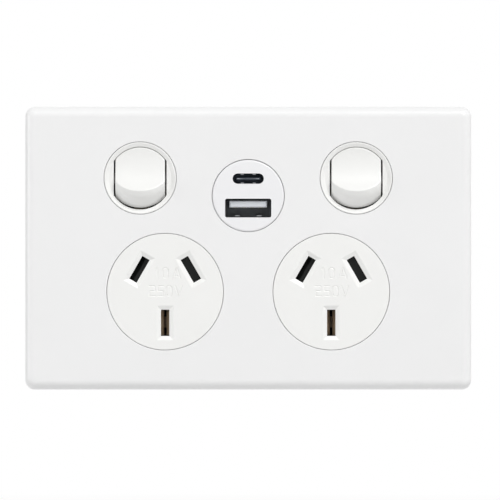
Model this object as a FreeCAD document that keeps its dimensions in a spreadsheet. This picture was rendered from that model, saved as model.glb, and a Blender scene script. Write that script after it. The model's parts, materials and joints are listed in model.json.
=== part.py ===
"""Double switched wall socket with a two-port USB charger, for a flush wall box.

Frame: X to the right, Y into the wall, Z up.  The origin is the middle of the
plate on the wall plane, between the two mounting holes.  Millimetres.
"Front" sizes count from the wall plane towards the room, so a point at
front 9 has Y = -9.  "Depth" sizes count from the wall plane into the wall.
"""
import FreeCAD, Part
import math
import os
import re

import Sketcher
from FreeCAD import Placement, Rotation, Vector

doc = FreeCAD.newDocument("WallSocket")
sheet = doc.addObject("Spreadsheet::Sheet", "Sizes")

SIZES = {
    # Cover plate
    "side_margin": 31.0,
    "switch_margin": 19.2,
    "plate_projection": 9.0,
    "plate_corner": 2.6,
    "plate_draft": 3.0,
    "plate_edge": 2.4,
    "cover_wall": 2.0,
    "cover_play": 0.12,
    "window_edge": 0.15,
    "ring_relief": 0.5,
    "stop_inset": 6.0,
    "stop_bore": 4.0,
    "clip_inset": 21.0,
    "clip_length": 8.0,
    "clip_catch": 0.8,
    "clip_height": 0.9,
    # Front housing
    "flange_inset": 3.8,
    "flange_thickness": 2.5,
    "flange_corner": 3.0,
    "mount_pitch": 84.0,
    "mount_hole": 4.6,
    "rim_depth": 0.5,
    "rim_play": 0.2,
    # Socket outlets
    "socket_pitch": 44.3,
    "socket_drop": 11.6,
    "socket_disc": 31.0,
    "face_thickness": 2.1,
    "cavity_bore": 27.0,
    "guide_bore": 28.0,
    "guide_front": 4.7,
    "pin_offset": 6.85,
    "pin_lift": 2.0,
    "pin_rise": 3.96,
    "earth_drop": 10.3,
    "slot_length": 7.0,
    "rating_height": 3.0,
    "rating_line": 0.45,
    "rating_depth": 0.15,
    "rating_corner": 0.75,
    "rating_bevel": 0.3,
    "rating_one": 0.85,
    "rating_digit": 1.85,
    "rating_letter": 2.4,
    "rating_foot": 0.5,
    "rating_upper": 3.5,
    "rating_upper_gap": 0.95,
    "rating_upper_shift": 0.85,
    "rating_lower": 1.3,
    "rating_lower_gap": 0.4,
    "rating_lower_shift": 0.2,
    "slot_width": 2.25,
    "slot_lean": 30.0,
    "bevel_width": 1.1,
    "bevel_depth": 0.55,
    # Shutters, with their guides and springs
    "shutter_thickness": 1.8,
    "shutter_play": 0.2,
    "shutter_travel": 2.7,
    "shutter_lap": 0.19,
    "shutter_cover": 0.25,
    "window_play": 0.1,
    "shutter_top": 7.9,
    "shutter_end": 9.75,
    "shutter_ramp": 1.4,
    "guide_thickness": 1.5,
    "guide_play": 0.2,
    "leaf_room": 0.3,
    "tail_width": 1.8,
    "tail_drop": 2.8,
    "tail_clear": 0.4,
    "spring_length": 8.0,
    "spring_post": 1.5,
    "spring_coil": 1.7,
    "spring_wire": 0.3,
    "spring_turns": 5.0,
    "spring_play": 0.05,
    # Switch rockers
    "rocker_rise": 18.7,
    "rocker_tilt": 17.5,
    "rocker_radius": 9.7,
    "rocker_half": 6.6,
    "rocker_play": 0.3,
    "rocker_side_play": 0.45,
    "rocker_wall": 1.5,
    "rocker_well": 13.0,
    "rocker_well_corner": 3.0,
    "rocker_edge": 0.3,
    "skirt_front": 2.35,
    "skirt_taper_front": 6.0,
    "skirt_taper": 21.0,
    "skirt_blend": 4.0,
    "skirt_overrun": 0.5,
    "dish_floor": 6.3,
    "dish_radius": 14.3,
    "pivot_front": 3.1,
    "ear_radius": 3.0,
    "trunnion_radius": 1.5,
    "trunnion_reach": 8.2,
    "trunnion_play": 0.05,
    "stem_bore": 3.0,
    "stem_wall": 1.1,
    "stem_end": 3.0,
    "stem_well": 3.5,
    "ring_disc": 19.2,
    "ring_boss": 22.4,
    "ring_dish": 0.5,
    "ring_dish_width": 1.0,
    "ring_lip": 0.3,
    # Plungers and see-saw contacts
    "plunger_tip": 8.0,
    "plunger_length": 8.5,
    "plunger_play": 0.15,
    "plunger_gap": 0.1,
    "plunger_turns": 4.0,
    "blade_thickness": 0.8,
    "blade_width": 4.4,
    "blade_reach": 8.2,
    "blade_foot": 7.3,
    "blade_tilt": 6.0,
    "rivet_reach": 6.5,
    "rivet_height": 0.6,
    "rivet_radius": 1.6,
    "knife_play": 0.05,
    "knife_inset": 0.2,
    "stop_inset": 0.7,
    "contact_play": 0.2,
    # Contact strips
    "strip_thickness": 0.8,
    "strip_width": 2.4,
    "arm_gap": 0.7,
    "arm_reach": 5.6,
    "arm_post_rise": 4.0,
    "pad_half": 3.0,
    "contact_lap": 2.5,
    "bar_depth": 9.0,
    "bar_width": 3.0,
    "bar_post_inset": 6.5,
    "neutral_tab": 4.0,
    "tab_width": 2.0,
    "board_lap": 1.5,
    "feed_depth": 12.0,
    "feed_drop": 12.7,
    "feed_arm_half": 2.0,
    "feed_lap": 2.5,
    "feed_tab": 5.0,
    "feed_post_drop": 6.0,
    "leaf_thickness": 0.6,
    "leaf_root": 1.45,
    "leaf_pinch": 0.3,
    "leaf_flare": 1.3,
    "leaf_length": 6.6,
    "leaf_front": 2.6,
    "earth_lead": 3.6,
    "lip_length": 1.6,
    # Terminals
    "terminal_spread": 11.5,
    "terminal_width": 8.0,
    "terminal_height": 9.0,
    "terminal_thickness": 8.0,
    "terminal_step": 3.0,
    "terminal_edge": 0.4,
    "tunnel_bore": 4.6,
    "tunnel_inset": 3.3,
    "tunnel_length": 7.5,
    "clamp_thread": 3.6,
    "clamp_play": 0.05,
    "clamp_travel": 3.0,
    "clamp_head": 4.6,
    "clamp_head_height": 1.6,
    "clamp_drop": 0.5,
    "driver_slot": 0.8,
    # Rear housing
    "body_margin": 0.3,
    "body_head": 1.1,
    "body_foot": 16.9,
    "body_depth": 26.0,
    "body_wall": 1.8,
    "body_corner": 3.0,
    "post_radius": 2.0,
    "tube_wall": 1.5,
    "wire_hole": 6.0,
    # Housing screws
    "screw_inset": 5.5,
    "screw_lap": 0.5,
    "screw_gap": 0.4,
    "screw_shank": 2.9,
    "screw_play": 0.05,
    "screw_head": 5.2,
    "screw_head_height": 2.0,
    "head_play": 0.2,
    "screw_tip_play": 0.2,
    "screw_sink": 4.0,
    "screw_pillar": 5.4,
    "screw_front": 5.2,
    "screw_boss_front": 6.5,
    # USB charger
    "usb_rise": 14.0,
    "usb_disc": 19.2,
    "fascia_collar": 21.4,
    "fascia_collar_back": 4.9,
    "fascia_tower_front": 5.4,
    "fascia_edge": 0.5,
    "fascia_tower_width": 17.0,
    "fascia_tower_height": 16.0,
    "port_recess": 1.2,
    "port_play": 0.05,
    "port_a_drop": 3.3,
    "port_a_width": 12.3,
    "port_a_height": 5.0,
    "port_a_corner": 0.5,
    "port_c_rise": 4.55,
    "port_c_width": 8.3,
    "port_c_height": 2.75,
    "port_c_corner": 1.35,
    "port_wall": 0.3,
    "port_window_width": 14.4,
    "port_window_height": 13.2,
    "port_root": 4.0,
    "tongue_a_width": 10.0,
    "tongue_a_thickness": 1.75,
    "tongue_a_top": 1.95,
    "tongue_c_width": 6.4,
    "tongue_c_thickness": 0.6,
    "tongue_recess": 0.5,
    "tongue_edge": 0.3,
    "pin_width": 1.0,
    "pin_height": 0.15,
    "pin_pitch": 2.3,
    "pin_recess": 1.0,
    "board_margin": 1.0,
    "board_height": 24.0,
    "board_lift": 0.5,
    "board_depth": 5.0,
    "board_thickness": 1.6,
    "board_post_inset": 2.5,
    "board_post_drop": 4.0,
    "core_width": 14.0,
    "core_height": 12.0,
    "core_thickness": 5.0,
    "core_climb": 4.0,
    "core_leg": 4.0,
    "core_yoke": 2.1,
    "winding_build": 2.3,
    "winding_play": 0.15,
    "core_lift": 0.4,
    "capacitor_bore": 6.0,
    "capacitor_length": 9.0,
    "capacitor_gap": 1.5,
}
for row, (name, value) in enumerate(SIZES.items(), start=1):
    sheet.set(f"A{row}", name)
    sheet.set(f"B{row}", str(value))
    sheet.setAlias(f"B{row}", name)
doc.recompute()

ALIAS = re.compile(r"\b[a-z]+(?:_[a-z]+)+\b")


def size(name):
    """One driving dimension, read from the sheet."""
    return float(sheet.get(name))


def bound(text):
    """An expression on the sheet, written with plain size names."""
    return ALIAS.sub(lambda word: "Sizes." + word.group(), text)


def bind(thing, prop, text):
    thing.setExpression(prop, bound(text))


# Places that several pieces share
SIDES = {"left": "-1", "right": "1"}
FACE_BACK = "(plate_projection - face_thickness)"
SHUTTER_BACK = f"({FACE_BACK} - shutter_play - shutter_thickness)"
CHAMBER_RADIUS = "(rocker_radius + rocker_play)"
CHAMBER_HALF = "(rocker_half + rocker_side_play)"
BLADE_DEPTH = "(plunger_tip - pivot_front + plunger_gap + blade_thickness)"
CONTACT_DEPTH = (
    f"({BLADE_DEPTH} + rivet_reach * tan(blade_tilt) + 2 * rivet_height + contact_play)"
)
BOARD_BACK = "(board_depth + board_thickness)"
INNER_BACK = "(body_depth - body_wall)"

# From the middle outwards: transformer, capacitor, board edge, screw, contact arm, switch
CAPACITOR_X = "(core_width / 2 + capacitor_gap + capacitor_bore / 2)"
BOARD_HALF = f"({CAPACITOR_X} + capacitor_bore / 2 + board_margin)"
SCREW_HIGH_X = f"({BOARD_HALF} + screw_gap + screw_pillar / 2)"
ARM_X = f"({SCREW_HIGH_X} + screw_pillar / 2 + arm_gap + strip_width / 2)"
SWITCH_X = f"({ARM_X} + arm_reach)"
PLATE_WIDTH = f"(2 * ({SWITCH_X} + side_margin))"
PLATE_HEIGHT = "(2 * (rocker_rise + switch_margin))"
FLANGE_WIDTH = f"({PLATE_WIDTH} - 2 * flange_inset)"
FLANGE_HEIGHT = f"({PLATE_HEIGHT} - 2 * flange_inset)"
BODY_HALF = f"({SWITCH_X} + rocker_radius + body_margin)"
BODY_TOP = "(rocker_rise + rocker_radius + body_head)"
BODY_BOTTOM = "(socket_drop + body_foot)"
FEED_Z = "(rocker_rise - feed_drop)"
BOARD_Z = "(usb_rise + board_lift)"
CORE_Z = "(usb_rise + core_climb)"


def switch_x(side):
    return f"({SIDES[side]} * {SWITCH_X})"


def socket_x(side):
    return f"({SIDES[side]} * socket_pitch / 2)"


def active_x(side):
    return f"({socket_x(side)} - pin_offset)"


def neutral_x(side):
    return f"({socket_x(side)} + pin_offset)"


PIN_CENTRE_Z = "(pin_lift - socket_drop)"
PIN_Z = f"({PIN_CENTRE_Z} + pin_rise)"
EARTH_Z = f"({PIN_CENTRE_Z} - earth_drop)"
SPRING_Z = f"({PIN_CENTRE_Z} - (tail_drop + tail_clear) / 2)"
TERMINALS = {
    "neutral": ("-terminal_spread", "(bar_depth + strip_thickness + terminal_step)"),
    "earth": ("0", "(bar_depth + strip_thickness)"),
    "active": ("terminal_spread", "(feed_depth + strip_thickness)"),
}


# Sketch and feature helpers

START_RADIUS = 20.0


def new_body(name):
    body = doc.addObject("PartDesign::Body", name)
    body.Label = name
    return body


def sketch(body, plane, away="0", at=("0", "0"), turn=None):
    """A sketch on an origin plane, moved along its normal and turned in its plane.

    XZ_Plane looks at the wall: x is X, y is Z, and away counts towards the room.
    YZ_Plane is a section: x is Y, y is Z, and away counts along X.
    """
    sk = body.newObject("Sketcher::SketchObject", body.Name + "_sketch")
    support = next(f for f in body.Origin.OriginFeatures if f.Role == plane)
    sk.AttachmentSupport = [(support, "")]
    sk.MapMode = "FlatFace"
    if turn is not None:
        sk.AttachmentOffset = Placement(Vector(), Rotation(Vector(0, 0, 1), 1))
        bind(sk, "AttachmentOffset.Rotation.Angle", turn)
    bind(sk, "AttachmentOffset.Base.x", at[0])
    bind(sk, "AttachmentOffset.Base.y", at[1])
    bind(sk, "AttachmentOffset.Base.z", away)
    return sk


def hold(sk, kind, text, *places):
    """One driving dimension of a sketch."""
    index = sk.addConstraint(Sketcher.Constraint(kind, *places, 1.0))
    bind(sk, f"Constraints[{index}]", text)


def outline(sk, points):
    """A closed outline of straight sides through points given as expressions.

    It starts as a regular polygon, which its dimensions then pull to shape.
    """
    first = sk.GeometryCount
    count = len(points)
    turns = [2 * math.pi * i / count for i in range(count)]
    start = [Vector(math.cos(a), math.sin(a), 0) * START_RADIUS for a in turns]
    for i in range(count):
        sk.addGeometry(Part.LineSegment(start[i], start[(i + 1) % count]), False)
    for i in range(count):
        joined = (first + i, 2, first + (i + 1) % count, 1)
        sk.addConstraint(Sketcher.Constraint("Coincident", *joined))
    for i, (x, y) in enumerate(points):
        hold(sk, "DistanceX", x, -1, 1, first + i, 1)
        hold(sk, "DistanceY", y, -1, 1, first + i, 1)
    return sk


def box(sk, x, y, width, height):
    """A rectangle about a middle point."""
    left, right = f"({x}) - ({width}) / 2", f"({x}) + ({width}) / 2"
    low, high = f"({y}) - ({height}) / 2", f"({y}) + ({height}) / 2"
    return outline(sk, [(left, low), (right, low), (right, high), (left, high)])


def rounded(sk, x, y, width, height, corner):
    """A rectangle about a middle point with round corners."""
    arcs = []
    corners = ((1, 1), (-1, 1), (-1, -1), (1, -1))
    for turn, (right, up) in enumerate(corners):
        ball = Part.Circle(Vector(4 * right, 3 * up, 0), Vector(0, 0, 1), 1)
        start = turn * math.pi / 2
        arcs.append(Part.ArcOfCircle(ball, start, start + math.pi / 2))
    following = arcs[1:] + arcs[:1]
    sides = [Part.LineSegment(a.EndPoint, b.StartPoint) for a, b in zip(arcs, following)]
    first_arc = sk.GeometryCount
    sk.addGeometry(arcs + sides, False)
    for i, (right, up) in enumerate(corners):
        arc, side, after = first_arc + i, first_arc + 4 + i, first_arc + (i + 1) % 4
        sk.addConstraint(Sketcher.Constraint("Coincident", arc, 2, side, 1))
        sk.addConstraint(Sketcher.Constraint("Coincident", side, 2, after, 1))
        first, last = (1, 2) if right * up > 0 else (2, 1)
        sk.addConstraint(Sketcher.Constraint("Horizontal", arc, 3, arc, first))
        sk.addConstraint(Sketcher.Constraint("Vertical", arc, 3, arc, last))
        hold(sk, "DistanceX", f"({x}) + {right} * (({width}) / 2 - ({corner}))", -1, 1, arc, 3)
        hold(sk, "DistanceY", f"({y}) + {up} * (({height}) / 2 - ({corner}))", -1, 1, arc, 3)
        hold(sk, "Radius", corner, arc)
    return sk


def circle(sk, x, y, diameter):
    index = sk.addGeometry(Part.Circle(Vector(1, 1, 0), Vector(0, 0, 1), 1), False)
    hold(sk, "DistanceX", x, -1, 1, index, 3)
    hold(sk, "DistanceY", y, -1, 1, index, 3)
    hold(sk, "Diameter", diameter, index)
    return sk


def barrel(sk, half, radius):
    """Half the section of a ball cut flat at both ends, above the sketch's x axis."""
    half_now, radius_now = half[1], radius[1]
    rise = math.sqrt(radius_now**2 - half_now**2)
    low_left, low_right = Vector(-half_now, 0, 0), Vector(half_now, 0, 0)
    high_left, high_right = Vector(-half_now, rise, 0), Vector(half_now, rise, 0)
    turn = math.atan2(rise, half_now)
    ball = Part.Circle(Vector(), Vector(0, 0, 1), radius_now)
    floor = sk.addGeometry(Part.LineSegment(low_left, low_right), False)
    right = sk.addGeometry(Part.LineSegment(low_right, high_right), False)
    arc = sk.addGeometry(Part.ArcOfCircle(ball, turn, math.pi - turn), False)
    left = sk.addGeometry(Part.LineSegment(high_left, low_left), False)
    chain = [(floor, 2, right, 1), (right, 2, arc, 1), (arc, 2, left, 1), (left, 2, floor, 1)]
    for joined in chain:
        sk.addConstraint(Sketcher.Constraint("Coincident", *joined))
    sk.addConstraint(Sketcher.Constraint("Coincident", arc, 3, -1, 1))
    sk.addConstraint(Sketcher.Constraint("Vertical", right))
    sk.addConstraint(Sketcher.Constraint("Vertical", left))
    hold(sk, "DistanceX", f"-{half[0]}", -1, 1, floor, 1)
    hold(sk, "DistanceY", "0", -1, 1, floor, 1)
    hold(sk, "DistanceX", half[0], -1, 1, floor, 2)
    hold(sk, "DistanceY", "0", -1, 1, floor, 2)
    hold(sk, "Radius", radius[0], arc)
    return sk


def extrude(body, kind, sk, length, way="front"):
    """A pad or pocket from a sketch: to its front, to its back, or both ways."""
    feature = body.newObject("PartDesign::" + kind, body.Name + "_" + kind.lower())
    feature.Profile = sk
    if way == "both":
        feature.SideType = "Symmetric"
    else:
        feature.Reversed = (way == "front") == (kind == "Pocket")
    bind(feature, "Length", length)
    sk.Visibility = False
    return feature


def pad(body, sk, length, way="front"):
    return extrude(body, "Pad", sk, length, way)


def pocket(body, sk, length, way="back"):
    return extrude(body, "Pocket", sk, length, way)


def turned(body, kind, sk, axis="H_Axis"):
    """A revolution or groove of a sketch, once round one of its own axes."""
    feature = body.newObject("PartDesign::" + kind, body.Name + "_" + kind.lower())
    feature.Profile = sk
    feature.ReferenceAxis = (sk, [axis])
    feature.Angle = 360
    return feature


def funnel(body, wide, narrow):
    """A tapering cut between two sketches."""
    feature = body.newObject("PartDesign::SubtractiveLoft", body.Name + "_funnel")
    feature.Profile = wide
    feature.Sections = [narrow]
    feature.Ruled = True
    return feature


def along(edge):
    """Five points from one end of an edge to the other."""
    step = (edge.LastParameter - edge.FirstParameter) / 4
    return [edge.valueAt(edge.FirstParameter + k * step) for k in range(5)]


def dressed(body, kind, prop, amount, wanted):
    """A fillet or chamfer on the edges that a test on their points picks."""
    doc.recompute()
    base = body.Tip
    picked = [f"Edge{i}" for i, e in enumerate(base.Shape.Edges, 1) if wanted(along(e))]
    if not picked:
        raise RuntimeError(f"no edge found on {body.Name} for its {kind}")
    feature = body.newObject("PartDesign::" + kind, body.Name + "_" + kind.lower())
    feature.Base = (base, picked)
    bind(feature, prop, amount)
    return feature


def fillet(body, radius, wanted):
    return dressed(body, "Fillet", "Radius", radius, wanted)


def chamfer(body, amount, wanted):
    return dressed(body, "Chamfer", "Size", amount, wanted)


def at_depth(points, depth):
    return all(abs(p.y - depth) < 1e-4 for p in points)


def is_round(points):
    """True for an edge whose ends and middle aren't in one line."""
    first, middle, last = points[0], points[2], points[-1]
    return (middle - first).cross(last - first).Length > 1e-3 or (last - first).Length < 1e-3


def straight_in(points):
    """True for an edge that runs mainly into the wall."""
    span = points[-1] - points[0]
    return abs(span.y) > 5 * math.hypot(span.x, span.z) and abs(span.y) > 1e-3


def place(body, x, depth, z, turn=None):
    """Puts a piece modelled about its own origin, turned about X."""
    if turn is not None:
        body.Placement = Placement(Vector(), Rotation(Vector(1, 0, 0), 1))
        bind(body, "Placement.Rotation.Angle", turn)
    bind(body, "Placement.Base.x", x)
    bind(body, "Placement.Base.y", depth)
    bind(body, "Placement.Base.z", z)


def primitive(kind, name, sizes, at, turn=None):
    """A Part primitive with bound sizes and place, turned about an axis if asked."""
    thing = doc.addObject("Part::" + kind, name)
    for prop, text in sizes.items():
        bind(thing, prop, text)
    if turn is not None:
        thing.Placement = Placement(Vector(), Rotation(*turn))
    for axis, text in zip("xyz", at):
        bind(thing, "Placement.Base." + axis, text)
    return thing


def joined(kind, name, parts):
    """A fuse or compound of earlier objects."""
    thing = doc.addObject("Part::" + kind, name)
    if kind == "Compound":
        thing.Links = parts
    else:
        thing.Shapes = parts
    return thing


def cut(name, base, tool):
    thing = doc.addObject("Part::Cut", name)
    thing.Base = base
    thing.Tool = tool
    return thing


NODES = []


def node(thing, name):
    thing.Label = name
    NODES.append(thing)
    return thing


SCREW_EDGE = "(body_wall - screw_lap + screw_pillar / 2)"
SCREW_PLACES = [
    (f"{sign} * {x}", z)
    for x, z in ((f"({BODY_HALF} - screw_inset)", f"{SCREW_EDGE} - {BODY_BOTTOM}"),
                 (SCREW_HIGH_X, f"{BODY_TOP} - {SCREW_EDGE}"))
    for sign in ("-1", "1")
]


# Cover plate: a drafted tray with five round windows, stops and catches

CLIPS_X = [f"{across} * ({FLANGE_WIDTH} / 2 - clip_inset)" for across in ("-1", "1")]


def cover_plate():
    body = new_body("cover_plate")
    shell = pad(body, box(sketch(body, "XZ_Plane"), "0", "0", PLATE_WIDTH, PLATE_HEIGHT),
                "plate_projection")
    bind(shell, "TaperAngle", "-plate_draft")
    fillet(body, "plate_corner", straight_in)
    front = -size("plate_projection")
    fillet(body, "plate_edge", lambda p: at_depth(p, front))
    tray = box(sketch(body, "XZ_Plane", "plate_projection - cover_wall"), "0", "0",
               f"{PLATE_WIDTH} - 2 * cover_wall", f"{PLATE_HEIGHT} - 2 * cover_wall")
    pocket(body, tray, "plate_projection")
    relief = sketch(body, "XZ_Plane", "plate_projection - cover_wall + ring_relief")
    windows = sketch(body, "XZ_Plane", "plate_projection")
    for side in SIDES:
        circle(relief, switch_x(side), "rocker_rise", "ring_boss + 4 * cover_play")
        circle(windows, switch_x(side), "rocker_rise", "ring_disc + 2 * cover_play")
        circle(windows, socket_x(side), "-socket_drop", "socket_disc + 2 * cover_play")
    circle(windows, "0", "usb_rise", "usb_disc + 2 * cover_play")
    pocket(body, relief, "ring_relief")
    pocket(body, windows, "plate_projection")
    fillet(body, "window_edge", lambda p: at_depth(p, front) and is_round(p))
    stops = sketch(body, "XZ_Plane", "flange_thickness")
    for across in ("-1", "1"):
        for up in ("-1", "1"):
            circle(stops, f"{across} * ({FLANGE_WIDTH} / 2 - stop_inset)",
                   f"{up} * ({FLANGE_HEIGHT} / 2 - stop_inset)", "stop_bore")
    pad(body, stops, "plate_projection - cover_wall - flange_thickness + cover_wall / 4")
    for x in CLIPS_X:
        for up in ("-1", "1"):
            wall = f"{up} * ({PLATE_HEIGHT} / 2 - cover_wall / 2)"
            tip = f"{up} * ({FLANGE_HEIGHT} / 2 - clip_catch)"
            barb = outline(sketch(body, "YZ_Plane", x), [
                ("-rim_play", wall), ("-rim_play - clip_height", wall),
                ("-rim_play - clip_height", tip), ("-rim_play - clip_height / 2", tip)])
            pad(body, barb, "clip_length", "both")
    return node(body, "cover_plate")


# Front housing: flange, socket faces, switch rings and everything behind the cover

def front_housing():
    body = new_body("front_housing")
    flange = sketch(body, "XZ_Plane")
    pad(body, box(flange, "0", "0", FLANGE_WIDTH, FLANGE_HEIGHT), "flange_thickness")
    fillet(body, "flange_corner", straight_in)

    faces = sketch(body, "XZ_Plane")
    bosses = sketch(body, "XZ_Plane")
    rings = sketch(body, "XZ_Plane")
    for side in SIDES:
        circle(faces, socket_x(side), "-socket_drop", "socket_disc")
        circle(bosses, switch_x(side), "rocker_rise", "ring_boss")
        circle(rings, switch_x(side), "rocker_rise", "ring_disc")
    pad(body, faces, "plate_projection")
    pad(body, bosses, "plate_projection - cover_wall + ring_relief - cover_play")
    pad(body, rings, "plate_projection")
    front = -size("plate_projection")
    fillet(body, "window_edge", lambda p: at_depth(p, front))
    pillars = sketch(body, "XZ_Plane")
    for x, z in SCREW_PLACES:
        circle(pillars, x, z, "screw_pillar")
    pad(body, pillars, "screw_boss_front")

    rim = sketch(body, "XZ_Plane", "rim_depth")
    box(rim, "0", f"({BODY_TOP} - {BODY_BOTTOM}) / 2", f"2 * ({BODY_HALF} + rim_play)",
        f"{BODY_TOP} + {BODY_BOTTOM} + 2 * rim_play")
    pocket(body, rim, "2 * rim_depth")

    behind_face = sketch(body, "XZ_Plane", FACE_BACK)
    guide_seat = sketch(body, "XZ_Plane", "guide_front")
    for side in SIDES:
        circle(behind_face, socket_x(side), "-socket_drop", "cavity_bore")
        circle(guide_seat, socket_x(side), "-socket_drop", "guide_bore")
    pocket(body, behind_face, FACE_BACK)
    pocket(body, guide_seat, "guide_front")
    for side in SIDES:
        pin_slots(body, side)
        rating(body, side, "10A", "rating_upper_gap", "rating_upper_shift", "rating_upper")
        rating(body, side, "250V", "rating_lower_gap", "rating_lower_shift", "-rating_lower")
        switch_well(body, side)

    window = sketch(body, "XZ_Plane", "flange_thickness")
    box(window, "0", "usb_rise", "port_window_width", "port_window_height")
    pocket(body, window, "flange_thickness")
    holes = sketch(body, "XZ_Plane", "flange_thickness")
    for sign in ("-1", "1"):
        circle(holes, f"{sign} * mount_pitch / 2", "0", "mount_hole")
    pocket(body, holes, "flange_thickness")
    pilots = sketch(body, "XZ_Plane", "screw_front")
    for x, z in SCREW_PLACES:
        circle(pilots, x, z, "screw_shank + 2 * screw_play")
    pocket(body, pilots, "screw_front")
    catches = sketch(body, "XZ_Plane", "rim_play + clip_height + rim_play")
    for x in CLIPS_X:
        for up in ("-1", "1"):
            box(catches, x, f"{up} * {FLANGE_HEIGHT} / 2", "clip_length + 4 * rim_play",
                "2 * (clip_catch + rim_play)")
    pocket(body, catches, "flange_thickness")
    return node(body, "front_housing")


def pin_slots(body, side):
    """Three slots through a socket face, each with a bevelled lead-in."""
    slots = [
        (active_x(side), PIN_Z, "-slot_lean"),
        (neutral_x(side), PIN_Z, "slot_lean"),
        (socket_x(side), EARTH_Z, "0"),
    ]
    for x, z, lean in slots:
        through = sketch(body, "XZ_Plane", "plate_projection", (x, z), lean)
        box(through, "0", "0", "slot_width", "slot_length")
        pocket(body, through, "face_thickness + shutter_play")
        wide = sketch(body, "XZ_Plane", "plate_projection", (x, z), lean)
        box(wide, "0", "0", "slot_width + 2 * bevel_width", "slot_length + 2 * bevel_width")
        narrow = sketch(body, "XZ_Plane", "plate_projection - bevel_depth", (x, z), lean)
        box(narrow, "0", "0", "slot_width", "slot_length")
        funnel(body, wide, narrow)


def nought(sk):
    middle = ("rating_digit / 2", "rating_height / 2")
    rounded(sk, *middle, "rating_digit", "rating_height", "rating_corner")
    rounded(sk, *middle, "rating_digit - 2 * rating_line", "rating_height - 2 * rating_line",
            "rating_corner - rating_line")


def one(sk):
    flag = "(rating_one - rating_line)"
    outline(sk, [
        (flag, "0"), ("rating_one", "0"), ("rating_one", "rating_height"), (flag, "rating_height"),
        ("0", "rating_height - rating_line"), ("0", "rating_height - 2 * rating_line"),
        (flag, "rating_height - rating_line"),
    ])


def hooked(sk, turned_over):
    """A figure 2 with bevelled corners, or mirrored left to right, a 5."""
    across, up, line, cut_off = "rating_digit", "rating_height", "rating_line", "rating_bevel"
    over, under = f"({up} + {line}) / 2", f"({up} - {line}) / 2"
    points = [
        ("0", up), (f"{across} - {cut_off}", up), (across, f"{up} - {cut_off}"),
        (across, f"{under} + {cut_off}"), (f"{across} - {cut_off}", under), (line, under),
        (line, line), (across, line), (across, "0"), ("0", "0"), ("0", f"{over} - {cut_off}"),
        (cut_off, over), (f"{across} - {line}", over), (f"{across} - {line}", f"{up} - {line}"),
        ("0", f"{up} - {line}"),
    ]
    if turned_over:
        points = [(f"{across} - ({x})", z) for x, z in points]
    outline(sk, points)


def two(sk):
    hooked(sk, False)


def five(sk):
    hooked(sk, True)


LEG_INSIDE = "(rating_height - 2 * rating_line)"


def inside_leg(height):
    """How far in the inner side of an A's left leg is at a height."""
    return f"(rating_foot + {height} * (rating_letter / 2 - rating_foot) / {LEG_INSIDE})"


def letter_a(sk):
    low, high = "rating_line", "(2 * rating_line)"
    tip = "rating_foot / 2"
    outline(sk, [
        ("0", "0"), ("rating_foot", "0"), (inside_leg(low), low),
        (f"rating_letter - {inside_leg(low)}", low), ("rating_letter - rating_foot", "0"),
        ("rating_letter", "0"), (f"rating_letter / 2 + {tip}", "rating_height"),
        (f"rating_letter / 2 - {tip}", "rating_height"),
    ])
    outline(sk, [
        (inside_leg(high), high), (f"rating_letter - {inside_leg(high)}", high),
        ("rating_letter / 2", LEG_INSIDE),
    ])


def letter_v(sk):
    tip = "rating_foot / 2"
    outline(sk, [
        ("0", "rating_height"), ("rating_foot", "rating_height"),
        ("rating_letter / 2", "2 * rating_line"), ("rating_letter - rating_foot", "rating_height"),
        ("rating_letter", "rating_height"), (f"rating_letter / 2 + {tip}", "0"),
        (f"rating_letter / 2 - {tip}", "0"),
    ])


MARKS = {
    "0": ("rating_digit", nought), "1": ("rating_one", one), "2": ("rating_digit", two),
    "5": ("rating_digit", five), "A": ("rating_letter", letter_a), "V": ("rating_letter", letter_v),
}


def rating(body, side, text, gap, shift, base):
    """One line of sunk figures and letters about the middle of a socket face."""
    across = " + ".join([MARKS[mark][0] for mark in text] + [f"{len(text) - 1} * {gap}"])
    left = f"({socket_x(side)} + {shift} - ({across}) / 2)"
    for mark in text:
        width, draw = MARKS[mark]
        sunk = sketch(body, "XZ_Plane", "plate_projection", (left, f"{base} - socket_drop"))
        draw(sunk)
        pocket(body, sunk, "rating_depth")
        left = f"({left} + {width} + {gap})"


def switch_well(body, side):
    """The round-topped well that a rocker turns in, with its dished ring and pin slots."""
    x = switch_x(side)
    ball = sketch(body, "XZ_Plane", "pivot_front", (x, "rocker_rise"))
    radius = size("rocker_radius") + size("rocker_play")
    half = size("rocker_half") + size("rocker_side_play")
    barrel(ball, (CHAMBER_HALF, half), (CHAMBER_RADIUS, radius))
    turned(body, "Groove", ball)
    open_back = sketch(body, "XZ_Plane", "pivot_front")
    box(open_back, x, "rocker_rise", f"2 * {CHAMBER_HALF}", f"2 * {CHAMBER_RADIUS}")
    pocket(body, open_back, "pivot_front")
    wide = sketch(body, "XZ_Plane", "plate_projection")
    circle(wide, x, "rocker_rise", "ring_disc - 2 * ring_lip")
    narrow = sketch(body, "XZ_Plane", "plate_projection - ring_dish")
    circle(narrow, x, "rocker_rise", "ring_disc - 2 * ring_lip - 2 * ring_dish_width")
    funnel(body, wide, narrow)
    bearing = sketch(body, "YZ_Plane", x)
    circle(bearing, "-pivot_front", "rocker_rise", "2 * (trunnion_radius + trunnion_play)")
    pocket(body, bearing, "2 * (trunnion_reach + rocker_play)", "both")
    entry = sketch(body, "YZ_Plane", x)
    box(entry, "-pivot_front / 2", "rocker_rise", "pivot_front",
        "2 * (trunnion_radius + trunnion_play)")
    pocket(body, entry, "2 * (trunnion_reach + rocker_play)", "both")


# Rear housing: the box in the wall, with posts, screw pillars and terminal tubes

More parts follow.
